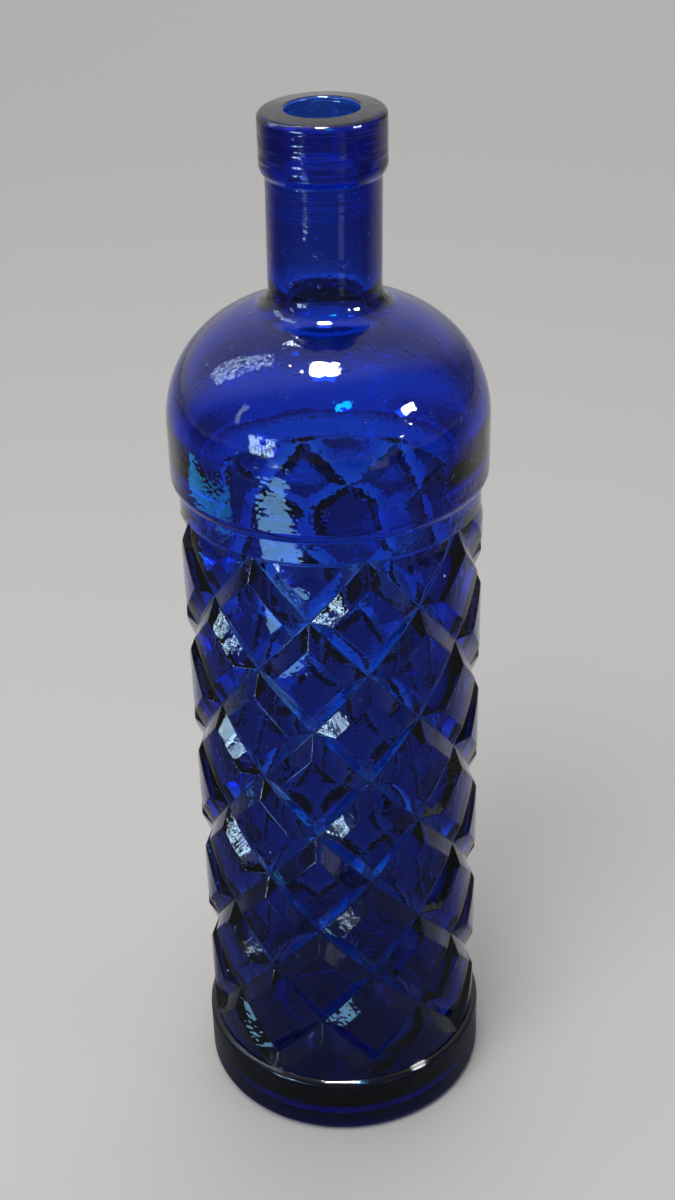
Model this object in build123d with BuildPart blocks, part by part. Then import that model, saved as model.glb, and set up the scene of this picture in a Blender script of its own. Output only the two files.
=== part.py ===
from build123d import *
import os
from math import sqrt

# Cobalt glass bottle with a cork mouth, a thick collar lip, a domed shoulder and a diamond lattice body.
# Millimetres, +Z up, origin at the centre of the standing plane, -Y is the front.
# The glass is divided along the joints of its mould, and the pieces meet on flat rings.

# Body: a cylinder whose wall is cut by crossing helical V grooves
body_radius = 41.3
wall_thickness = 5.5
cells_round = 8
cell_rows = 5
cell_height = 34.4
groove_depth = 2.75
groove_half_width = 4.7
# One family of grooves runs a little deeper, so that its roots pass unbroken through the crossings
groove_depth_step = 0.06
foot_land = 4.2
top_bevel_height = 3.4
top_bevel_depth = 1.2
groove_overrun = 1.0

# Base: a smooth ring that stands out below the lattice, with a rounded heel and a pushed-up floor
base_height = 19.5
ring_step = 1.6
heel_radius = 3.0
bearing_width = 4.0
push_up_height = 6.0
floor_thickness = 5.5
floor_corner_radius = 9.0
# The most of the wall below the joint that the floor's corner may take up
floor_corner_share = 0.65

# Upper band: the plain recess between the lattice and the shoulder
band_height = 7.0
band_step = 0.4
band_root_height = 0.8

# Shoulder: overhangs the band, runs straight up, then domes in to the neck
shoulder_step = 1.6
shoulder_foot_radius = 4.0
shoulder_wall_height = 17.8
dome_radius = 30.6
shoulder_thickness = 5.2
neck_blend_radius = 6.0
throat_blend_radius = 9.0

# Neck: a plain tube whose bore narrows to the cork seat
neck_radius = 14.65
neck_length = 26.9
neck_wall = 4.65

# Lip: the thick collar round the mouth, with the straight bore that takes the cork and runs on into the neck
lip_step = 1.4
lip_height = 16.9
lip_under_radius = 4.4
lip_edge_radius = 1.6
# How much the top falls from the mouth to the outer edge
lip_top_fall = 0.5
mouth_radius = 9.25
mouth_edge_radius = 0.8
cork_seat_drop = 8.0

# Heights of the rings where the pieces meet, from the standing plane up
lattice_foot = base_height + foot_land
lattice_top = lattice_foot + cell_rows * cell_height
shoulder_foot = lattice_top + band_height
dome_centre_height = shoulder_foot + shoulder_wall_height
shoulder_top = dome_centre_height + dome_radius + neck_blend_radius
neck_top = shoulder_top + neck_length
bottle_height = neck_top + lip_height

cavity_radius = body_radius - wall_thickness
groove_root_radius = body_radius - groove_depth
ring_radius = body_radius + ring_step
band_radius = body_radius - band_step
band_root_radius = body_radius - top_bevel_depth
shoulder_radius = body_radius + shoulder_step
dome_centre_radius = shoulder_radius - dome_radius
neck_bore_radius = neck_radius - neck_wall
lip_radius = neck_radius + lip_step


def circle_height(radius, centre_radius, at_radius):
    """Height above a circle's centre of its upper point at a given distance from the bottle's axis."""
    return sqrt(radius**2 - (at_radius - centre_radius) ** 2)


# Base
bearing_outer_radius = ring_radius - heel_radius
bearing_inner_radius = bearing_outer_radius - bearing_width
push_up_sphere_radius = (bearing_inner_radius**2 + push_up_height**2) / (2 * push_up_height)
floor_top = push_up_height + floor_thickness
floor_rim = floor_top - push_up_sphere_radius + circle_height(push_up_sphere_radius, 0, cavity_radius)

with BuildPart() as base:
    with BuildSketch(Plane.XZ) as base_profile:
        with BuildLine():
            RadiusArc((0, push_up_height), (bearing_inner_radius, 0), push_up_sphere_radius)
            Line((bearing_inner_radius, 0), (bearing_outer_radius, 0))
            RadiusArc((bearing_outer_radius, 0), (ring_radius, heel_radius), -heel_radius)
            Line((ring_radius, heel_radius), (ring_radius, base_height - ring_step))
            RadiusArc((ring_radius, base_height - ring_step), (body_radius, base_height), -ring_step)
            Polyline((body_radius, base_height), (cavity_radius, base_height), (cavity_radius, floor_rim))
            RadiusArc((cavity_radius, floor_rim), (0, floor_top), -push_up_sphere_radius)
            Line((0, floor_top), (0, push_up_height))
        make_face()
        floor_corner = base_profile.vertices().sort_by_distance((cavity_radius, floor_rim))[0]
        fillet(floor_corner, min(floor_corner_radius, floor_corner_share * (base_height - floor_rim)))
    revolve(axis=Axis.Z)
base.part.label = "base"

# Groove cutters, one for each hand, from the lowest crossings to past the top of the lattice
helix_height = lattice_top - lattice_foot + cell_height / 2
helix_pitch = cells_round * cell_height
cutter_radius = body_radius + groove_overrun
groove_slope = groove_half_width / groove_depth
groove_cutters = []
for left_handed, root_radius in ((False, groove_root_radius), (True, groove_root_radius - groove_depth_step)):
    with BuildPart() as groove:
        with BuildLine() as root_line:
            Helix(helix_pitch, helix_height, root_radius, lefthand=left_handed)
        # The section lies square to the root at its lower end, where the radial direction is X
        section_plane = Plane(origin=root_line.line @ 0, x_dir=(1, 0, 0), z_dir=root_line.line % 0)
        section_depth = cutter_radius - root_radius
        section_half_width = section_depth * groove_slope
        with BuildSketch(section_plane):
            Polygon((0, 0), (section_depth, section_half_width), (section_depth, -section_half_width), align=None)
        sweep(is_frenet=True)
    groove_cutters.append(groove.part)

# Diamond body
with BuildPart() as diamond_body:
    with BuildSketch(Plane.XZ):
        with BuildLine():
            Polyline(
                (cavity_radius, base_height),
                (body_radius, base_height),
                (body_radius, lattice_top - top_bevel_height),
                (band_root_radius, lattice_top),
                (cavity_radius, lattice_top),
                close=True,
            )
        make_face()
    revolve(axis=Axis.Z)
    half_cell_angle = 180 / cells_round
    for groove_cutter in groove_cutters:
        with Locations((0, 0, lattice_foot)):
            with PolarLocations(0, cells_round, start_angle=half_cell_angle - 90):
                add(groove_cutter, mode=Mode.SUBTRACT)
diamond_body.part.label = "diamond_body"

# Upper band
with BuildPart() as upper_band:
    with BuildSketch(Plane.XZ):
        with BuildLine():
            Polyline(
                (cavity_radius, lattice_top),
                (band_root_radius, lattice_top),
                (band_radius, lattice_top + band_root_height),
                (band_radius, shoulder_foot),
                (cavity_radius, shoulder_foot),
                close=True,
            )
        make_face()
    revolve(axis=Axis.Z)
upper_band.part.label = "upper_band"

# Shoulder
foot_centre_radius = shoulder_radius - shoulder_foot_radius
foot_rise = circle_height(shoulder_foot_radius, foot_centre_radius, band_radius)
shoulder_cavity_radius = shoulder_radius - shoulder_thickness
throat_dome_radius = dome_radius - shoulder_thickness
dome_meets_neck = dome_centre_height + circle_height(dome_radius, dome_centre_radius, neck_radius)
dome_meets_throat = dome_centre_height + circle_height(throat_dome_radius, dome_centre_radius, neck_bore_radius)

with BuildPart() as shoulder:
    with BuildSketch(Plane.XZ) as shoulder_profile:
        with BuildLine():
            RadiusArc(
                (band_radius, shoulder_foot),
                (shoulder_radius, shoulder_foot + foot_rise),
                -shoulder_foot_radius,
            )
            Line((shoulder_radius, shoulder_foot + foot_rise), (shoulder_radius, dome_centre_height))
            RadiusArc((shoulder_radius, dome_centre_height), (neck_radius, dome_meets_neck), -dome_radius)
            Polyline(
                (neck_radius, dome_meets_neck),
                (neck_radius, shoulder_top),
                (neck_bore_radius, shoulder_top),
                (neck_bore_radius, dome_meets_throat),
            )
            RadiusArc(
                (neck_bore_radius, dome_meets_throat),
                (shoulder_cavity_radius, dome_centre_height),
                throat_dome_radius,
            )
            Spline(
                (shoulder_cavity_radius, dome_centre_height),
                (cavity_radius, shoulder_foot),
                tangents=((0, -1), (0, -1)),
            )
            Line((cavity_radius, shoulder_foot), (band_radius, shoulder_foot))
        make_face()
        outer_corner = shoulder_profile.vertices().sort_by_distance((neck_radius, dome_meets_neck))[0]
        fillet(outer_corner, neck_blend_radius)
        throat_corner = shoulder_profile.vertices().sort_by_distance((neck_bore_radius, dome_meets_throat))[0]
        fillet(throat_corner, throat_blend_radius)
    revolve(axis=Axis.Z)
shoulder.part.label = "shoulder"

# Neck
cork_seat_foot = neck_top - cork_seat_drop
with BuildPart() as neck:
    with BuildSketch(Plane.XZ):
        with BuildLine():
            Polyline(
                (neck_bore_radius, shoulder_top),
                (neck_radius, shoulder_top),
                (neck_radius, neck_top),
                (mouth_radius, neck_top),
                (mouth_radius, cork_seat_foot),
                close=True,
            )
        make_face()
    revolve(axis=Axis.Z)
neck.part.label = "neck"

# Lip finish
under_centre_radius = lip_radius - lip_under_radius
under_rise = circle_height(lip_under_radius, under_centre_radius, neck_radius)
lip_edge_height = bottle_height - lip_top_fall
with BuildPart() as lip_finish:
    with BuildSketch(Plane.XZ) as lip_profile:
        with BuildLine():
            RadiusArc((neck_radius, neck_top), (lip_radius, neck_top + under_rise), -lip_under_radius)
            Polyline(
                (lip_radius, neck_top + under_rise),
                (lip_radius, lip_edge_height),
                (mouth_radius, bottle_height),
                (mouth_radius, neck_top),
                (neck_radius, neck_top),
            )
        make_face()
        outer_edge = lip_profile.vertices().sort_by_distance((lip_radius, lip_edge_height))[0]
        fillet(outer_edge, lip_edge_radius)
        mouth_edge = lip_profile.vertices().sort_by_distance((mouth_radius, bottle_height))[0]
        fillet(mouth_edge, mouth_edge_radius)
    revolve(axis=Axis.Z)
lip_finish.part.label = "lip_finish"

os.makedirs("parts", exist_ok=True)
for piece in (base, diamond_body, upper_band, shoulder, neck, lip_finish):
    export_step(piece.part, f"parts/{piece.part.label}.step")
    print(piece.part.label, "solids", len(piece.part.solids()), "volume", round(piece.part.volume))
print("bottle height", round(bottle_height, 2), "widest radius", ring_radius)
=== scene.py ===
from math import acos, asin, atan2, cos, pi, radians, sin, tan

import bpy
from mathutils import Matrix, Quaternion, Vector


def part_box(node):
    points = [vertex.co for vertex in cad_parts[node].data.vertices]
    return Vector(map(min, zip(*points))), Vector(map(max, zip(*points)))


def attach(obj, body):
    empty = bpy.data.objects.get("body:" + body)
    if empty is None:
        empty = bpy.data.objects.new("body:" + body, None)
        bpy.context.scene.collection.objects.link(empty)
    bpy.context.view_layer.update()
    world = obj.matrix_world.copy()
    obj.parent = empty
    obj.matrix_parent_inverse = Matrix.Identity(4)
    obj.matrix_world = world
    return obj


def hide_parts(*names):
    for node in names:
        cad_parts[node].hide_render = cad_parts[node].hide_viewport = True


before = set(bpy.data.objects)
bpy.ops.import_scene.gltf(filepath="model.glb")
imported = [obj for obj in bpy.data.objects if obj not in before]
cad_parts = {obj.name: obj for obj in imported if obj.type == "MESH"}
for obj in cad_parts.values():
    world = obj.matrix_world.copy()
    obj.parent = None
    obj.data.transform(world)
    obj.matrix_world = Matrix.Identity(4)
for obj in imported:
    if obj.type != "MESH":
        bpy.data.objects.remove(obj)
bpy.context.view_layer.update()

# Cobalt glass bottle with a diamond lattice. Metres, +Z up, standing on z = 0, front towards -Y.
# The glass is one closed skin: a spun outline for the smooth parts and a wrapped strip of cells for the lattice.


def deselectEverything():
    if bpy.context.object and bpy.context.object.mode != "OBJECT":
        bpy.ops.object.mode_set(mode="OBJECT")
    bpy.ops.object.select_all(action="DESELECT")


def makeActive(piece):
    deselectEverything()
    piece.select_set(True)
    bpy.context.view_layer.objects.active = piece


def pickVertices(piece, test):
    # leaves edit mode with only the vertices that pass the test selected
    bpy.ops.object.mode_set(mode="EDIT")
    bpy.ops.mesh.select_mode(type="VERT")
    bpy.ops.mesh.select_all(action="DESELECT")
    bpy.ops.object.mode_set(mode="OBJECT")
    for vertex in piece.data.vertices:
        vertex.select = test(vertex.co)
    bpy.ops.object.mode_set(mode="EDIT")


def pickEdges(piece, test):
    bpy.ops.object.mode_set(mode="EDIT")
    bpy.ops.mesh.select_mode(type="EDGE")
    bpy.ops.mesh.select_all(action="DESELECT")
    bpy.ops.object.mode_set(mode="OBJECT")
    points = piece.data.vertices
    for edge in piece.data.edges:
        edge.select = test(points[edge.vertices[0]].co, points[edge.vertices[1]].co)
    bpy.ops.object.mode_set(mode="EDIT")


def copyOf(piece, name):
    makeActive(piece)
    bpy.ops.object.duplicate(linked=False)
    bpy.context.object.name = name
    return bpy.context.object


def applyModifier(piece, kind, **settings):
    makeActive(piece)
    modifier = piece.modifiers.new(kind.title(), kind)
    for setting, value in settings.items():
        setattr(modifier, setting, value)
    bpy.ops.object.modifier_apply(modifier=modifier.name)


# Lattice

closeTogether = 0.00001  # vertices nearer than this are one
nearBy = 10 * closeTogether  # and those nearer than this lie on one line

latticeSizes = {
    "cellsRound": 8,
    "cellRows": 5,
    "radius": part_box("diamond_body")[1][0],
    "top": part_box("diamond_body")[1][2],
    "foot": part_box("diamond_body")[0][2],
    "footLand": 0.0042,
    "grooveDepth": 0.00275,
    "grooveHalfWidth": 0.0047,
    "topBevelDepth": 0.0012,
    "strips": 6,
    "topBevelStrips": 2,
    "edgeRound": 0.00045,
    "edgeSegments": 3,
    "edgeAngle": radians(16),
    "rimShare": 0.999,  # of the half width and half height: vertices past it lie on a cell's rim
}
latticeSizes["cellWidth"] = 2 * pi * latticeSizes["radius"] / latticeSizes["cellsRound"]
latticeSizes["lowestCrossing"] = latticeSizes["foot"] + latticeSizes["footLand"]
latticeSizes["cellHeight"] = (latticeSizes["top"] - latticeSizes["lowestCrossing"]) / latticeSizes["cellRows"]
grooveRise = atan2(latticeSizes["cellHeight"], latticeSizes["cellWidth"])
tableHalfWidth = latticeSizes["cellWidth"] / 2 - latticeSizes["grooveHalfWidth"] / sin(grooveRise)
tableHalfHeight = latticeSizes["cellHeight"] / 2 - latticeSizes["grooveHalfWidth"] / cos(grooveRise)


def onRim(point):
    share = abs(point.x) / (latticeSizes["cellWidth"] / 2) + abs(point.z) / (latticeSizes["cellHeight"] / 2)
    return share > latticeSizes["rimShare"]


def addCell():
    # one diamond, flat and facing the front: a raised table with four bevels down to the groove roots
    deselectEverything()
    bpy.ops.mesh.primitive_circle_add(vertices=4, radius=0.5, fill_type="NGON", rotation=(pi / 2, 0, 0))
    cell = bpy.context.object
    cell.name = "latticeCell"
    bpy.ops.object.transform_apply(location=True, rotation=True, scale=True)
    bpy.ops.object.mode_set(mode="EDIT")
    bpy.ops.mesh.select_all(action="SELECT")
    bpy.ops.transform.resize(value=(latticeSizes["cellWidth"], 1, latticeSizes["cellHeight"]))
    bpy.ops.mesh.inset(thickness=latticeSizes["grooveHalfWidth"], depth=0)
    pickVertices(cell, onRim)
    bpy.ops.transform.translate(value=(0, latticeSizes["grooveDepth"], 0))
    pickEdges(cell, lambda a, b: onRim(a) == onRim(b))  # all but the hips
    bpy.ops.mesh.subdivide(number_cuts=latticeSizes["strips"] - 1)
    bpy.ops.object.mode_set(mode="OBJECT")
    return cell


def addTopHalf(cell):
    # the lower half of a cell under the plain band, with a bevel along its cut
    half = copyOf(cell, "latticeTopHalf")
    bpy.ops.object.mode_set(mode="EDIT")
    bpy.ops.mesh.select_all(action="SELECT")
    bpy.ops.mesh.bisect(plane_co=(0, 0, 0), plane_no=(0, 0, 1), clear_outer=True, threshold=closeTogether)
    bevelled = latticeSizes["topBevelStrips"]
    for row in range(bevelled):
        height = -tableHalfHeight * row / latticeSizes["strips"]
        pickVertices(half, lambda p: abs(p.z - height) < nearBy and p.y < closeTogether)
        bpy.ops.transform.translate(value=(0, latticeSizes["topBevelDepth"] * (1 - row / bevelled), 0))
    bpy.ops.object.mode_set(mode="OBJECT")
    return half


def addFootHalf(cell):
    # the upper half of a cell over the base ring, with a plain land where the grooves run out
    half = copyOf(cell, "latticeFootHalf")
    bpy.ops.object.mode_set(mode="EDIT")
    bpy.ops.mesh.select_all(action="SELECT")
    bpy.ops.mesh.bisect(plane_co=(0, 0, 0), plane_no=(0, 0, 1), clear_inner=True, threshold=closeTogether)
    pickEdges(half, lambda a, b: max(a.z, b.z) < closeTogether)
    bpy.ops.mesh.extrude_region_move(TRANSFORM_OT_translate={"value": (0, 0, -latticeSizes["footLand"])})
    pickVertices(half, lambda p: p.z < -closeTogether and p.y > closeTogether)
    bpy.ops.transform.translate(value=(0, -latticeSizes["grooveDepth"], 0))
    for side in (-1, 1):  # the fold from the run-out's foot to the table's corner
        pickVertices(
            half,
            lambda p: (p.z < -closeTogether and side * p.x > latticeSizes["cellWidth"] / 2 - closeTogether)
            or (abs(p.z) < closeTogether and abs(side * p.x - tableHalfWidth) < nearBy),
        )
        bpy.ops.mesh.vert_connect()
    bpy.ops.object.mode_set(mode="OBJECT")
    return half


def repeatPiece(piece, columns, rows):
    applyModifier(
        piece, "ARRAY", count=columns, use_relative_offset=False, use_constant_offset=True,
        constant_offset_displace=(latticeSizes["cellWidth"], 0, 0),
    )
    if rows > 1:
        applyModifier(
            piece, "ARRAY", count=rows, use_relative_offset=False, use_constant_offset=True,
            constant_offset_displace=(0, 0, latticeSizes["cellHeight"]),
        )


def placePiece(piece, x, z):
    makeActive(piece)
    bpy.ops.object.mode_set(mode="EDIT")
    bpy.ops.mesh.select_all(action="SELECT")
    bpy.ops.transform.translate(value=(x, 0, z))
    bpy.ops.object.mode_set(mode="OBJECT")


def joinPieces(pieces, name):
    makeActive(pieces[0])
    for piece in pieces[1:]:
        piece.select_set(True)
    bpy.ops.object.join()
    joined = bpy.context.object
    joined.name = name
    bpy.ops.object.mode_set(mode="EDIT")
    bpy.ops.mesh.select_all(action="SELECT")
    bpy.ops.mesh.remove_doubles(threshold=closeTogether)
    bpy.ops.object.mode_set(mode="OBJECT")
    return joined


def addLattice():
    width, height = latticeSizes["cellWidth"], latticeSizes["cellHeight"]
    columns = latticeSizes["cellsRound"]
    firstColumn = -columns / 2 * width
    low, top = latticeSizes["lowestCrossing"], latticeSizes["top"]
    cells = addCell()
    topHalves = addTopHalf(cells)
    footHalves = addFootHalf(cells)
    evenCells = copyOf(cells, "latticeEvenCells")
    repeatPiece(cells, columns, latticeSizes["cellRows"])
    repeatPiece(evenCells, columns, latticeSizes["cellRows"] - 1)
    repeatPiece(topHalves, columns, 1)
    repeatPiece(footHalves, columns, 1)
    placePiece(cells, firstColumn + width / 2, low + height / 2)
    placePiece(evenCells, firstColumn, low + height)
    placePiece(topHalves, firstColumn, top)
    placePiece(footHalves, firstColumn, low)
    strip = joinPieces([cells, evenCells, topHalves, footHalves], "latticeStrip")
    stripLength = max(v.co.x for v in strip.data.vertices) - min(v.co.x for v in strip.data.vertices)
    applyModifier(
        strip, "SIMPLE_DEFORM", deform_method="BEND", deform_axis="Z", angle=stripLength / latticeSizes["radius"]
    )
    bpy.ops.object.mode_set(mode="EDIT")
    bpy.ops.mesh.select_all(action="SELECT")
    bpy.ops.transform.translate(value=(0, -latticeSizes["radius"], 0))
    bpy.ops.mesh.remove_doubles(threshold=closeTogether)
    bpy.ops.object.mode_set(mode="OBJECT")
    print("lattice wrapped:", len(strip.data.polygons), "faces")
    return strip


# Smooth parts: outlines in radius and height, spun round the axis

def arcPoints(centre, radius, startAngle, endAngle, steps):
    turn = (endAngle - startAngle) / steps
    return [
        (centre[0] + radius * cos(startAngle + turn * step), centre[1] + radius * sin(startAngle + turn * step))
        for step in range(steps + 1)
    ]


def easeShare(share):
    return share * share * (3 - 2 * share)


def easeBetween(value, start, end):
    return easeShare(max(0, min(1, (value - start) / (end - start))))


baseSizes = {
    "ringRadius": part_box("base")[1][0],
    "top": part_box("base")[1][2],
    "heelRadius": 0.003,
    "bearingWidth": 0.004,
    "pushUpHeight": 0.006,
    "floorThickness": 0.0055,
    "floorCornerRadius": 0.009,
    "cavityRadius": latticeSizes["radius"] - 0.0055,
    "wallRows": 84,
    "dimpleDepth": 0.0006,
    "dimpleMean": 0.25,  # the hollow's share of that depth, taken over a whole cell
    "dimpleFade": 0.012,
    "pushUpSteps": 10,
    "heelSteps": 9,
    "ringTopSteps": 8,
    "floorCornerSteps": 12,
    "floorSteps": 6,
}
bearingOuter = baseSizes["ringRadius"] - baseSizes["heelRadius"]
bearingInner = bearingOuter - baseSizes["bearingWidth"]
pushUpRadius = (bearingInner**2 + baseSizes["pushUpHeight"] ** 2) / (2 * baseSizes["pushUpHeight"])


def baseOutline():
    ringStep = baseSizes["ringRadius"] - latticeSizes["radius"]
    sphereAngle = asin(bearingInner / pushUpRadius)
    heel, pushUpCentre = baseSizes["heelRadius"], baseSizes["pushUpHeight"] - pushUpRadius
    points = arcPoints((0, pushUpCentre), pushUpRadius, pi / 2, pi / 2 - sphereAngle, baseSizes["pushUpSteps"])
    points += arcPoints((bearingOuter, heel), heel, -pi / 2, 0, baseSizes["heelSteps"])
    ringTopCentre = (latticeSizes["radius"], baseSizes["top"] - ringStep)
    points += arcPoints(ringTopCentre, ringStep, 0, pi / 2, baseSizes["ringTopSteps"])
    return points[:-1]  # the last ring is the lattice's own foot


shoulderSizes = {
    "radius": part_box("shoulder")[1][0],
    "foot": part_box("shoulder")[0][2],
    "top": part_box("shoulder")[1][2],
    "bandRadius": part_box("upper_band")[1][0],
    "bandRootHeight": 0.0008,
    "footRadius": 0.004,
    "wallHeight": 0.0178,
    "domeRadius": 0.0306,
    "thickness": 0.0052,
    "neckBlend": 0.006,
    "throatBlend": 0.009,
    "footSteps": 8,
    "domeSteps": 30,
    "innerDomeSteps": 24,
    "blendSteps": 12,
    "drawInSteps": 10,
}
neckSizes = {
    "radius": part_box("neck")[1][0],
    "top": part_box("neck")[1][2],
    "wall": 0.00465,
    "corkSeatDrop": 0.008,
    "seatSteps": 8,
}
lipSizes = {
    "radius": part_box("lip_finish")[1][0],
    "top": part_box("lip_finish")[1][2],
    "underRadius": 0.0044,
    "edgeRadius": 0.0016,
    "topFall": 0.0005,  # from the mouth to the outer edge
    "mouthRadius": 0.00925,
    "mouthEdgeRadius": 0.0008,
    "underSteps": 6,
    "edgeSteps": 8,
    "shift": 0.0004,  # to the right, growing between the next two heights
    "shiftFrom": 0.278,
    "shiftFull": 0.284,
    "lean": 0.044,  # rise from the front to the back, as a slope
    "leanDrop": 0.0006,
    "leanFrom": 0.289,
    "leanFull": 0.299,
}


def outerOutline():
    # from the plain band up over the shoulder, neck and lip to the mouth
    radius, foot = shoulderSizes["radius"], shoulderSizes["foot"]
    footCentre = radius - shoulderSizes["footRadius"]
    footAngle = acos((shoulderSizes["bandRadius"] - footCentre) / shoulderSizes["footRadius"])
    footCentreHeight = foot + shoulderSizes["footRadius"] * sin(footAngle)
    domeCentre = (radius - shoulderSizes["domeRadius"], foot + shoulderSizes["wallHeight"])
    blend = shoulderSizes["neckBlend"]
    blendCentre = neckSizes["radius"] + blend
    reach = shoulderSizes["domeRadius"] + blend
    domeAngle = acos((blendCentre - domeCentre[0]) / reach)
    blendHeight = domeCentre[1] + reach * sin(domeAngle)
    underCentre = lipSizes["radius"] - lipSizes["underRadius"]
    underAngle = acos((neckSizes["radius"] - underCentre) / lipSizes["underRadius"])
    underHeight = neckSizes["top"] + lipSizes["underRadius"] * sin(underAngle)
    edge, mouthEdge = lipSizes["edgeRadius"], lipSizes["mouthEdgeRadius"]
    fall = atan2(lipSizes["topFall"], lipSizes["radius"] - lipSizes["mouthRadius"])
    edgeHeight = lipSizes["top"] - (lipSizes["radius"] - edge - lipSizes["mouthRadius"]) * tan(fall) - edge / cos(fall)
    mouthEdgeHeight = lipSizes["top"] - mouthEdge * tan(fall) - mouthEdge / cos(fall)
    points = [(shoulderSizes["bandRadius"], latticeSizes["top"] + shoulderSizes["bandRootHeight"])]
    points += arcPoints(
        (footCentre, footCentreHeight), shoulderSizes["footRadius"], -footAngle, 0, shoulderSizes["footSteps"]
    )
    points += arcPoints(domeCentre, shoulderSizes["domeRadius"], 0, domeAngle, shoulderSizes["domeSteps"])
    points += arcPoints((blendCentre, blendHeight), blend, domeAngle - pi, -pi, shoulderSizes["blendSteps"])
    points += arcPoints((underCentre, underHeight), lipSizes["underRadius"], -underAngle, 0, lipSizes["underSteps"])
    edgeSteps = lipSizes["edgeSteps"]
    points += arcPoints((lipSizes["radius"] - edge, edgeHeight), edge, 0, pi / 2 - fall, edgeSteps)
    mouthEdgeCentre = (lipSizes["mouthRadius"] + mouthEdge, mouthEdgeHeight)
    points += arcPoints(mouthEdgeCentre, mouthEdge, pi / 2 - fall, pi, edgeSteps)
    return points


def innerOutline():
    # from the mouth down the bore, throat and wall to the middle of the floor
    radius, foot = shoulderSizes["radius"], shoulderSizes["foot"]
    bore = neckSizes["radius"] - neckSizes["wall"]
    thickness, blend = shoulderSizes["thickness"], shoulderSizes["throatBlend"]
    domeCentre = (radius - shoulderSizes["domeRadius"], foot + shoulderSizes["wallHeight"])
    innerDome = shoulderSizes["domeRadius"] - thickness
    blendCentre = bore + blend
    reach = innerDome + blend
    domeAngle = acos((blendCentre - domeCentre[0]) / reach)
    blendHeight = domeCentre[1] + reach * sin(domeAngle)
    cavity = baseSizes["cavityRadius"]
    corner = baseSizes["floorCornerRadius"]
    floorCentre = baseSizes["pushUpHeight"] + baseSizes["floorThickness"] - pushUpRadius
    cornerAngle = asin((cavity - corner) / (pushUpRadius + corner))
    cornerHeight = floorCentre + (pushUpRadius + corner) * cos(cornerAngle)
    mouth, seat = lipSizes["mouthRadius"], neckSizes["top"] - neckSizes["corkSeatDrop"]
    points = []
    for step in range(neckSizes["seatSteps"] + 1):  # the bore narrows smoothly below the cork seat
        share = step / neckSizes["seatSteps"]
        points.append((mouth + (bore - mouth) * easeShare(share), seat + (shoulderSizes["top"] - seat) * share))
    points += arcPoints((blendCentre, blendHeight), blend, pi, pi + domeAngle, shoulderSizes["blendSteps"])
    points += arcPoints(domeCentre, innerDome, domeAngle, 0, shoulderSizes["innerDomeSteps"])
    shoulderCavity = radius - thickness
    for step in range(1, shoulderSizes["drawInSteps"] + 1):  # the wall draws in smoothly below the shoulder
        share = step / shoulderSizes["drawInSteps"]
        drawnIn = shoulderCavity + (cavity - shoulderCavity) * easeShare(share)
        points.append((drawnIn, domeCentre[1] + (foot - domeCentre[1]) * share))
    rows = baseSizes["wallRows"]
    points += [(cavity, foot + (cornerHeight - foot) * row / rows) for row in range(1, rows)]
    points += arcPoints(
        (cavity - corner, cornerHeight), corner, 0, -pi / 2 - cornerAngle, baseSizes["floorCornerSteps"]
    )
    points += arcPoints((0, floorCentre), pushUpRadius, pi / 2 - cornerAngle, pi / 2, baseSizes["floorSteps"])
    return points


skinSizes = {
    "spinSteps": 128,
    "startSize": 0.001,  # of the square that is merged into an outline's first vertex
    "smoothAngle": radians(40),
    "faceWeight": 50,
}


def spinOutline(points, name):
    # one vertex is drawn along the outline, and the line is spun round the axis
    deselectEverything()
    bpy.ops.mesh.primitive_plane_add(size=skinSizes["startSize"], location=(points[0][0], 0, points[0][1]))
    piece = bpy.context.object
    piece.name = name
    bpy.ops.object.transform_apply(location=True, rotation=True, scale=True)
    bpy.ops.object.mode_set(mode="EDIT")
    bpy.ops.mesh.select_all(action="SELECT")
    bpy.ops.mesh.merge(type="CENTER")
    last = points[0]
    for point in points[1:]:
        step = (point[0] - last[0], 0, point[1] - last[1])
        if abs(step[0]) + abs(step[2]) < closeTogether:
            continue
        bpy.ops.mesh.extrude_region_move(TRANSFORM_OT_translate={"value": step})
        last = point
    bpy.ops.mesh.select_all(action="SELECT")
    bpy.ops.mesh.spin(steps=skinSizes["spinSteps"], angle=2 * pi, center=(0, 0, 0), axis=(0, 0, 1))
    bpy.ops.mesh.select_all(action="SELECT")
    bpy.ops.mesh.remove_doubles(threshold=closeTogether)
    bpy.ops.object.mode_set(mode="OBJECT")
    print(name, "spun:", len(points), "points in its outline")
    return piece


def dimpleWall(piece):
    # blown glass follows its mould a little: behind each table the inside of the wall is hollowed
    low, top = latticeSizes["lowestCrossing"], latticeSizes["top"]
    for vertex in piece.data.vertices:
        point = vertex.co
        radius = (point.x**2 + point.y**2) ** 0.5
        onInside = abs(radius - baseSizes["cavityRadius"]) < closeTogether and low < point.z < top
        if not onInside:
            continue
        across = atan2(point.x, -point.y) / (2 * pi) * latticeSizes["cellsRound"]
        up = (point.z - low) / latticeSizes["cellHeight"]
        hollow = cos(pi * (across + up)) ** 2 * cos(pi * (across - up)) ** 2
        fade = min(1, (point.z - low) / baseSizes["dimpleFade"], (top - point.z) / baseSizes["dimpleFade"])
        grow = 1 + baseSizes["dimpleDepth"] * (hollow - baseSizes["dimpleMean"]) * fade / radius
        point.x *= grow
        point.y *= grow


def unevenLip(piece):
    # the lip was finished by hand: it stands a little to the right, and its top leans to the front
    for vertex in piece.data.vertices:
        point = vertex.co
        point.x += lipSizes["shift"] * easeBetween(point.z, lipSizes["shiftFrom"], lipSizes["shiftFull"])
        leaning = easeBetween(point.z, lipSizes["leanFrom"], lipSizes["leanFull"])
        point.z += leaning * (lipSizes["lean"] * point.y - lipSizes["leanDrop"])


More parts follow.
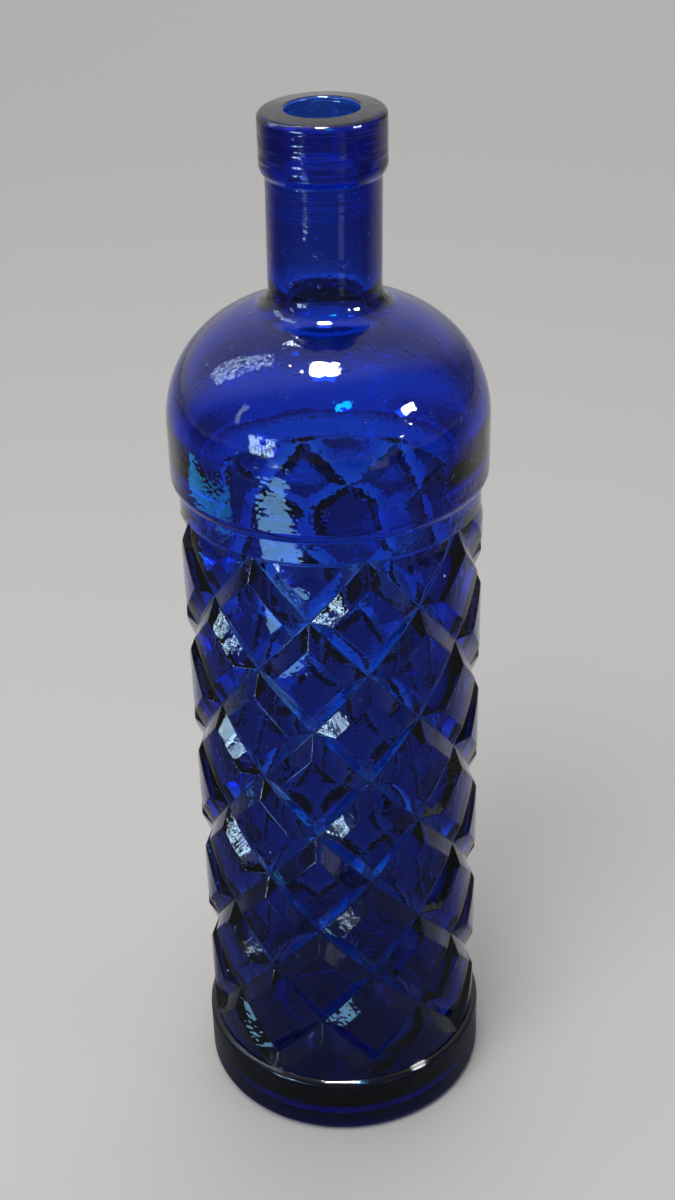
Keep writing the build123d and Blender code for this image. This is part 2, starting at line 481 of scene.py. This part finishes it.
def bridgeAt(piece, low, high):
    # joins the two open rings whose heights lie between low and high
    bpy.ops.object.mode_set(mode="EDIT")
    bpy.ops.mesh.select_mode(type="EDGE")
    bpy.ops.mesh.select_all(action="DESELECT")
    bpy.ops.mesh.select_non_manifold(
        extend=False, use_wire=False, use_boundary=True, use_multi_face=False, use_non_contiguous=False, use_verts=False
    )
    bpy.ops.object.mode_set(mode="OBJECT")
    points = piece.data.vertices
    for edge in piece.data.edges:
        heights = [points[i].co.z for i in edge.vertices]
        edge.select = edge.select and min(heights) > low and max(heights) < high
    bpy.ops.object.mode_set(mode="EDIT")
    bpy.ops.mesh.bridge_edge_loops()
    bpy.ops.object.mode_set(mode="OBJECT")


def addBottle():
    lattice = addLattice()
    lowerGlass = spinOutline(baseOutline(), "lowerGlass")
    upperGlass = spinOutline(outerOutline() + innerOutline(), "upperGlass")
    dimpleWall(upperGlass)
    unevenLip(upperGlass)
    bottle = joinPieces([lattice, lowerGlass, upperGlass], "bottle_glass")
    bridgeAt(bottle, latticeSizes["top"] - closeTogether, latticeSizes["top"] + 2 * shoulderSizes["bandRootHeight"])
    bridgeAt(bottle, baseSizes["top"] - baseSizes["heelRadius"], baseSizes["top"] + closeTogether)
    bpy.ops.object.mode_set(mode="EDIT")
    bpy.ops.mesh.select_all(action="SELECT")
    bpy.ops.mesh.normals_make_consistent(inside=False)
    bpy.ops.object.mode_set(mode="OBJECT")
    applyModifier(
        bottle, "BEVEL", width=latticeSizes["edgeRound"], segments=latticeSizes["edgeSegments"],
        limit_method="ANGLE", angle_limit=latticeSizes["edgeAngle"], use_clamp_overlap=True, harden_normals=False,
    )
    bpy.ops.object.shade_smooth_by_angle(angle=skinSizes["smoothAngle"])
    applyModifier(bottle, "WEIGHTED_NORMAL", mode="FACE_AREA", weight=skinSizes["faceWeight"], keep_sharp=True)
    print("bottle joined:", len(bottle.data.polygons), "faces")
    return bottle


# Finishes

glassLook = {
    "name": "cobaltGlass",
    "ior": 1.51,
    "roughness": 0.0,
    "absorption": (0.02, 0.42, 0.87),
    "density": 540,
    "shadowTint": (0.04, 0.08, 0.50),
    "peelScale": 850,
    "peelDepth": 0.000025,
    "waveScale": 100,
    "waveDetail": 1,
    "waveDepth": 0.0002,
    "markScale": 800,
    "markDetail": 1,
    "markStretch": 0.04,  # across the bottle, so that the marks run round it
    "markDepth": 0.0003,
    "markFrom": 0.272,  # heights between which the marks come in
    "markFull": 0.286,
    "speckScale": 420,
    "speckFrom": 0.73,
    "speckFull": 0.80,
    "speckDepth": 0.00006,
}


def linkNodes(tree, *pairs):
    for start, end in pairs:
        tree.links.new(start, end)


def addNoise(nodes, scale, detail=0):
    noise = nodes.new("ShaderNodeTexNoise")
    noise.inputs["Scale"].default_value = scale
    noise.inputs["Detail"].default_value = detail
    return noise


def addBump(nodes, depth):
    bump = nodes.new("ShaderNodeBump")
    bump.inputs["Distance"].default_value = depth
    return bump


def addFade(nodes, start, end):
    fade = nodes.new("ShaderNodeMapRange")
    fade.inputs["From Min"].default_value = start
    fade.inputs["From Max"].default_value = end
    return fade


def addVectorMath(nodes, operation, vector=None):
    maths = nodes.new("ShaderNodeVectorMath")
    maths.operation = operation
    if vector:
        maths.inputs[1].default_value = vector
    return maths


def addCobaltGlass():
    look = glassLook
    material = bpy.data.materials.new(look["name"])
    material.use_nodes = True
    tree = material.node_tree
    nodes = tree.nodes
    nodes.clear()
    output = nodes.new("ShaderNodeOutputMaterial")
    glass = nodes.new("ShaderNodeBsdfPrincipled")
    glass.inputs["Base Color"].default_value = (1, 1, 1, 1)
    glass.inputs["Roughness"].default_value = look["roughness"]
    glass.inputs["IOR"].default_value = look["ior"]
    glass.inputs["Transmission Weight"].default_value = 1
    clear = nodes.new("ShaderNodeBsdfTransparent")
    clear.inputs["Color"].default_value = (*look["shadowTint"], 1)
    mix = nodes.new("ShaderNodeMixShader")
    path = nodes.new("ShaderNodeLightPath")
    volume = nodes.new("ShaderNodeVolumeAbsorption")
    volume.inputs["Color"].default_value = (*look["absorption"], 1)
    volume.inputs["Density"].default_value = look["density"]
    # the mould's skin is a little wavy, with a fine peel over the waves
    place = nodes.new("ShaderNodeTexCoord")
    wave = addNoise(nodes, look["waveScale"], look["waveDetail"])
    waveBump = addBump(nodes, look["waveDepth"])
    peel = addNoise(nodes, look["peelScale"])
    peelBump = addBump(nodes, look["peelDepth"])
    # the finishing tool leaves faint rings round the lip and the top of the neck
    stretch = addVectorMath(nodes, "MULTIPLY", (look["markStretch"], look["markStretch"], 1))
    split = nodes.new("ShaderNodeSeparateXYZ")
    markFade = addFade(nodes, look["markFrom"], look["markFull"])
    marks = addNoise(nodes, look["markScale"], look["markDetail"])
    markBump = addBump(nodes, look["markDepth"])
    markStrength = nodes.new("ShaderNodeMath")
    markStrength.operation = "MULTIPLY"
    # a few seeds and grains of dust
    grains = addNoise(nodes, look["speckScale"])
    speck = addFade(nodes, look["speckFrom"], look["speckFull"])
    speck.interpolation_type = "SMOOTHSTEP"
    speckBump = addBump(nodes, look["speckDepth"])
    # these show where light enters the glass, and a ray that leaves it meets a smooth skin
    side = nodes.new("ShaderNodeNewGeometry")
    front = nodes.new("ShaderNodeMath")
    front.operation = "SUBTRACT"
    front.inputs[0].default_value = 1
    linkNodes(
        tree,
        (place.outputs["Object"], wave.inputs["Vector"]),
        (place.outputs["Object"], peel.inputs["Vector"]),
        (side.outputs["Backfacing"], front.inputs[1]),
        (front.outputs["Value"], waveBump.inputs["Strength"]),
        (front.outputs["Value"], peelBump.inputs["Strength"]),
        (wave.outputs["Fac"], waveBump.inputs["Height"]),
        (peel.outputs["Fac"], peelBump.inputs["Height"]),
        (place.outputs["Object"], stretch.inputs[0]),
        (stretch.outputs["Vector"], marks.inputs["Vector"]),
        (place.outputs["Object"], split.inputs["Vector"]),
        (split.outputs["Z"], markFade.inputs["Value"]),
        (markFade.outputs["Result"], markStrength.inputs[0]),
        (front.outputs["Value"], markStrength.inputs[1]),
        (markStrength.outputs["Value"], markBump.inputs["Strength"]),
        (marks.outputs["Fac"], markBump.inputs["Height"]),
        (place.outputs["Object"], grains.inputs["Vector"]),
        (grains.outputs["Fac"], speck.inputs["Value"]),
        (speck.outputs["Result"], speckBump.inputs["Height"]),
        (front.outputs["Value"], speckBump.inputs["Strength"]),
        (waveBump.outputs["Normal"], peelBump.inputs["Normal"]),
        (peelBump.outputs["Normal"], markBump.inputs["Normal"]),
        (markBump.outputs["Normal"], speckBump.inputs["Normal"]),
        (speckBump.outputs["Normal"], glass.inputs["Normal"]),
        (path.outputs["Is Shadow Ray"], mix.inputs["Fac"]),
        (glass.outputs["BSDF"], mix.inputs[1]),
        (clear.outputs["BSDF"], mix.inputs[2]),
        (mix.outputs["Shader"], output.inputs["Surface"]),
        (volume.outputs["Volume"], output.inputs["Volume"]),
    )
    return material


floorLook = {"name": "paleFloor", "size": 12, "colour": (0.56, 0.55, 0.535), "roughness": 0.8}


def addFloor():
    deselectEverything()
    bpy.ops.mesh.primitive_plane_add(size=floorLook["size"], location=(0, 0, 0))
    floor = bpy.context.object
    floor.name = "floor"
    material = bpy.data.materials.new(floorLook["name"])
    material.use_nodes = True
    shader = material.node_tree.nodes["Principled BSDF"]
    shader.inputs["Base Color"].default_value = (*floorLook["colour"], 1)
    shader.inputs["Roughness"].default_value = floorLook["roughness"]
    floor.data.materials.append(material)


# Two cards lie on the floor and show only in the glass. One is a painted dark reflection that keeps the floor's shine
# off its skin, from the front round to where the fade begins, as a share of the way behind the bottle.
shineCardLook = {
    "name": "shineCard",
    "reach": 2.2,
    "height": 0.0008,
    "colour": (0.07, 0.075, 0.085, 1),
    "fadeFrom": 0.15,
    "fadeTo": 0.65,
}
# The other is painted shade and light seen through the glass: dark behind the body, pale behind the dome and dim behind
# the neck.
viewCardLook = {
    "name": "viewCard",
    "reach": 2.0,
    "height": 0.0014,
    "colours": (  # by the distance from the bottle's axis
        (0.37, (0.18, 0.16, 0.20, 1)),
        (0.46, (0.50, 0.95, 1, 1)),
        (0.62, (0.50, 0.95, 1, 1)),
        (1.02, (0.34, 0.24, 0.30, 1)),
    ),
}
cardCorners = 64


def addCard(look):
    deselectEverything()
    bpy.ops.mesh.primitive_circle_add(
        vertices=cardCorners, radius=look["reach"], fill_type="NGON", location=(0, 0, look["height"])
    )
    card = bpy.context.object
    card.name = look["name"]
    material = bpy.data.materials.new(look["name"])
    material.use_nodes = True
    shader = material.node_tree.nodes["Principled BSDF"]
    shader.inputs["Roughness"].default_value = 1
    card.data.materials.append(material)
    card.visible_camera = False
    card.visible_diffuse = False
    card.visible_shadow = False
    return card, material.node_tree, shader


def addShineCard():
    look = shineCardLook
    card, tree, shader = addCard(look)
    card.visible_transmission = False
    shader.inputs["Base Color"].default_value = look["colour"]
    nodes = tree.nodes
    place = nodes.new("ShaderNodeTexCoord")
    direction = addVectorMath(nodes, "NORMALIZE")
    split = nodes.new("ShaderNodeSeparateXYZ")
    fade = addFade(nodes, look["fadeFrom"], look["fadeTo"])
    clear = nodes.new("ShaderNodeBsdfTransparent")
    mix = nodes.new("ShaderNodeMixShader")
    linkNodes(
        tree,
        (place.outputs["Object"], direction.inputs[0]),
        (direction.outputs["Vector"], split.inputs["Vector"]),
        (split.outputs["Y"], fade.inputs["Value"]),
        (fade.outputs["Result"], mix.inputs["Fac"]),
        (shader.outputs["BSDF"], mix.inputs[1]),
        (clear.outputs["BSDF"], mix.inputs[2]),
        (mix.outputs["Shader"], nodes["Material Output"].inputs["Surface"]),
    )


def addViewCard():
    look = viewCardLook
    card, tree, shader = addCard(look)
    card.visible_glossy = False
    nodes = tree.nodes
    place = nodes.new("ShaderNodeTexCoord")
    away = addVectorMath(nodes, "LENGTH")
    share = addFade(nodes, 0, look["reach"])
    ramp = nodes.new("ShaderNodeValToRGB")
    stops = ramp.color_ramp.elements
    while len(stops) < len(look["colours"]):
        stops.new(1)
    for stop, (distance, colour) in zip(stops, look["colours"]):
        stop.position = distance / look["reach"]
        stop.color = colour
    linkNodes(
        tree,
        (place.outputs["Object"], away.inputs[0]),
        (away.outputs["Value"], share.inputs["Value"]),
        (share.outputs["Result"], ramp.inputs["Fac"]),
        (ramp.outputs["Color"], shader.inputs["Base Color"]),
    )


# Light and camera

dome = (0, 0, 0.24)  # what most of the lamps that show in it aim at

# Some lamps only show in the glass, as the highlights of the photograph, and the others only light the floor.
lampSizes = {
    "windowLeft": {  # the two windows show on the left bevels of the lattice
        "place": (-1.64, -1.89, 0.36),
        "aim": (0, 0, 0.36),
        "size": (0.40, 0.76),
        "power": 12,
        "colour": (0.50, 0.76, 1),
        "ragged": True,
    },
    "windowRight": {
        "place": (-1.29, -2.14, 0.36),
        "aim": (0, 0, 0.36),
        "size": (0.28, 0.76),
        "power": 8,
        "colour": (0.50, 0.76, 1),
        "ragged": True,
    },
    "lowCard": {  # the two cards face up and show on the shoulder's straight wall
        "place": (-0.180, -0.345, 0.004),
        "aim": (-0.16, -0.31, 1.0),
        "size": (0.17, 0.20),
        "power": 0.8,
        "colour": (0.25, 0.60, 1),
        "roll": radians(25),
    },
    "leftCard": {
        "place": (-0.435, -0.05, 0.004),
        "aim": (-0.4155, -0.0456, 1.0),
        "size": (0.34, 0.045),
        "power": 0.16,
        "colour": (0.02, 0.36, 1),
    },
    "sill": {  # this and the next two show on the neck and the lip
        "place": (-0.40, -0.78, 0.034),
        "aim": (0, 0, 0.034),
        "size": (0.16, 0.014),
        "power": 0.05,
        "colour": (0.62, 0.82, 1),
    },
    "underSill": {
        "place": (-0.41, -0.80, 0.065),
        "aim": (0, 0, 0.065),
        "size": (0.12, 0.12),
        "power": 0.035,
        "colour": (0.62, 0.80, 1),
    },
    "doorway": {
        "place": (0.50, -0.56, 0.065),
        "aim": (0, 0, 0.065),
        "size": (0.15, 0.12),
        "power": 0.035,
        "colour": (0.8, 0.88, 1),
    },
    "transom": {  # this and the next five show in the dome
        "place": (-0.70, 0.10, 0.95),
        "aim": dome,
        "size": (0.26, 0.72),
        "power": 2.2,
        "colour": (0.62, 0.84, 1),
        "ragged": True,
    },
    "alcove": {
        "place": (-0.80, -0.50, 0.62),
        "aim": dome,
        "size": (0.08, 0.30),
        "power": 0.22,
        "colour": (0.72, 0.84, 1),
        "ragged": True,
    },
    "ceiling": {"place": (0.0, -0.15, 1.3), "aim": (0, 0, 0.1), "size": (0.25, 0.22), "power": 60},
    "skylight": {
        "place": (-0.30, 0.44, 1.3),
        "aim": dome,
        "size": (0.12, 0.10),
        "power": 0.7,
        "colour": (0.72, 0.86, 1),
        "ragged": True,
    },
    "ceilingAgain": {  # the ceiling light as the inside of the dome throws it back
        "place": (0.34, -0.80, 1.10),
        "aim": dome,
        "size": (0.23, 0.13),
        "power": 3.2,
        "colour": (0.0, 0.38, 1),
    },
    "side": {"place": (0.75, -0.25, 0.60), "aim": (0, 0, 0.15), "size": (0.15, 0.12), "power": 11},
    "overFloor": {
        "place": (-0.30, -0.75, 1.3),
        "aim": (0, 0.1, 0),
        "size": (0.7, 0.7),
        "power": 10,
        "lightsFloor": True,
    },
    "farFloor": {
        "place": (0, 2.6, 2.6),
        "aim": (0, 2.0, 0),
        "size": (3.0, 2.0),
        "power": 26,
        "lightsFloor": True,
    },
}
# the room is palest above and behind the bottle on its left, and dimmest on the camera's side
worldLook = {"dim": 0.17, "pale": 0.66, "towards": (-0.30, 0.60, 0.74), "dimTo": 0.34, "paleFrom": 0.64}
raggedLook = {
    "scale": 7,
    "detail": 7,
    "roughness": 0.68,
    "darkTo": 0.46,
    "brightFrom": 0.58,
    "dark": 0.04,
    "bright": 2.6,
}


def makeRagged(data):
    # dust and wiping break up the room's reflections, so these lamps shine in patches
    data.use_nodes = True
    nodes = data.node_tree.nodes
    place = nodes.new("ShaderNodeNewGeometry")
    patches = addNoise(nodes, raggedLook["scale"], raggedLook["detail"])
    patches.inputs["Roughness"].default_value = raggedLook["roughness"]
    edge = addFade(nodes, raggedLook["darkTo"], raggedLook["brightFrom"])
    edge.inputs["To Min"].default_value = raggedLook["dark"]
    edge.inputs["To Max"].default_value = raggedLook["bright"]
    linkNodes(
        data.node_tree,
        (place.outputs["Parametric"], patches.inputs["Vector"]),
        (patches.outputs["Fac"], edge.inputs["Value"]),
        (edge.outputs["Result"], nodes["Emission"].inputs["Strength"]),
    )


def addLamp(name, place, aim, size, power, colour=(1, 1, 1), roll=0, ragged=False, lightsFloor=False):
    data = bpy.data.lights.new(name, "AREA")
    data.shape = "RECTANGLE"
    data.size, data.size_y = size
    data.energy = power
    data.color = colour
    if ragged:
        makeRagged(data)
    lamp = bpy.data.objects.new(name, data)
    bpy.context.scene.collection.objects.link(lamp)
    lamp.location = place
    facing = (Vector(aim) - Vector(place)).to_track_quat("-Z", "Y")
    lamp.rotation_euler = (facing @ Quaternion((0, 0, 1), roll)).to_euler()
    lamp.visible_camera = False
    lamp.visible_diffuse = lightsFloor
    lamp.visible_glossy = not lightsFloor
    lamp.visible_transmission = not lightsFloor


def addWorld():
    world = bpy.data.worlds.new("studio")
    bpy.context.scene.world = world
    world.use_nodes = True
    tree = world.node_tree
    background = tree.nodes["Background"]
    background.inputs["Color"].default_value = (1, 1, 1, 1)
    place = tree.nodes.new("ShaderNodeTexCoord")
    towards = addVectorMath(tree.nodes, "DOT_PRODUCT", worldLook["towards"])
    fade = addFade(tree.nodes, worldLook["dimTo"], worldLook["paleFrom"])
    fade.interpolation_type = "SMOOTHSTEP"
    fade.inputs["To Min"].default_value = worldLook["dim"]
    fade.inputs["To Max"].default_value = worldLook["pale"]
    linkNodes(
        tree,
        (place.outputs["Object"], towards.inputs[0]),
        (towards.outputs["Value"], fade.inputs["Value"]),
        (fade.outputs["Result"], background.inputs["Strength"]),
    )


def addLight():
    for name, lamp in lampSizes.items():
        addLamp(name, **lamp)
    addWorld()


cameraSizes = {
    "distance": 0.410,  # from the bottle's axis to the lens, level
    "height": 0.396,
    "turn": radians(9.47),  # how far the lattice's front column stands left of the middle
    "yaw": radians(0.156),
    "pitch": radians(29.58),
    "roll": radians(-1.47),
    "lens": 50.25,
    "sensorWidth": 36,
    "clipStart": 0.01,
}


def addCamera():
    sizes = cameraSizes
    data = bpy.data.cameras.new("photoCamera")
    data.lens = sizes["lens"]
    data.sensor_width = sizes["sensorWidth"]
    data.clip_start = sizes["clipStart"]
    camera = bpy.data.objects.new("photoCamera", data)
    bpy.context.scene.collection.objects.link(camera)
    place = Vector((sizes["distance"] * sin(sizes["turn"]), -sizes["distance"] * cos(sizes["turn"]), sizes["height"]))
    facing = (
        Matrix.Rotation(sizes["turn"] - sizes["yaw"], 4, "Z")
        @ Matrix.Rotation(pi / 2 - sizes["pitch"], 4, "X")
        @ Matrix.Rotation(sizes["roll"], 4, "Z")
    )
    camera.matrix_world = Matrix.Translation(place) @ facing
    bpy.context.scene.camera = camera


bounces = {"all": 32, "transmission": 28, "transparent": 16}  # enough to pass through both walls of the lattice


def setRender():
    scene = bpy.context.scene
    scene.view_settings.view_transform = "Standard"
    scene.cycles.max_bounces = bounces["all"]
    scene.cycles.transmission_bounces = bounces["transmission"]
    scene.cycles.transparent_max_bounces = bounces["transparent"]
    scene.cycles.caustics_refractive = False
    scene.cycles.caustics_reflective = False


bottle = addBottle()
bottle.data.materials.clear()
bottle.data.materials.append(addCobaltGlass())
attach(bottle, "root")
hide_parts("base", "diamond_body", "upper_band", "shoulder", "neck", "lip_finish")
print("glass dressed")

addFloor()
addShineCard()
addViewCard()
addLight()
addCamera()
setRender()
print("stage set")
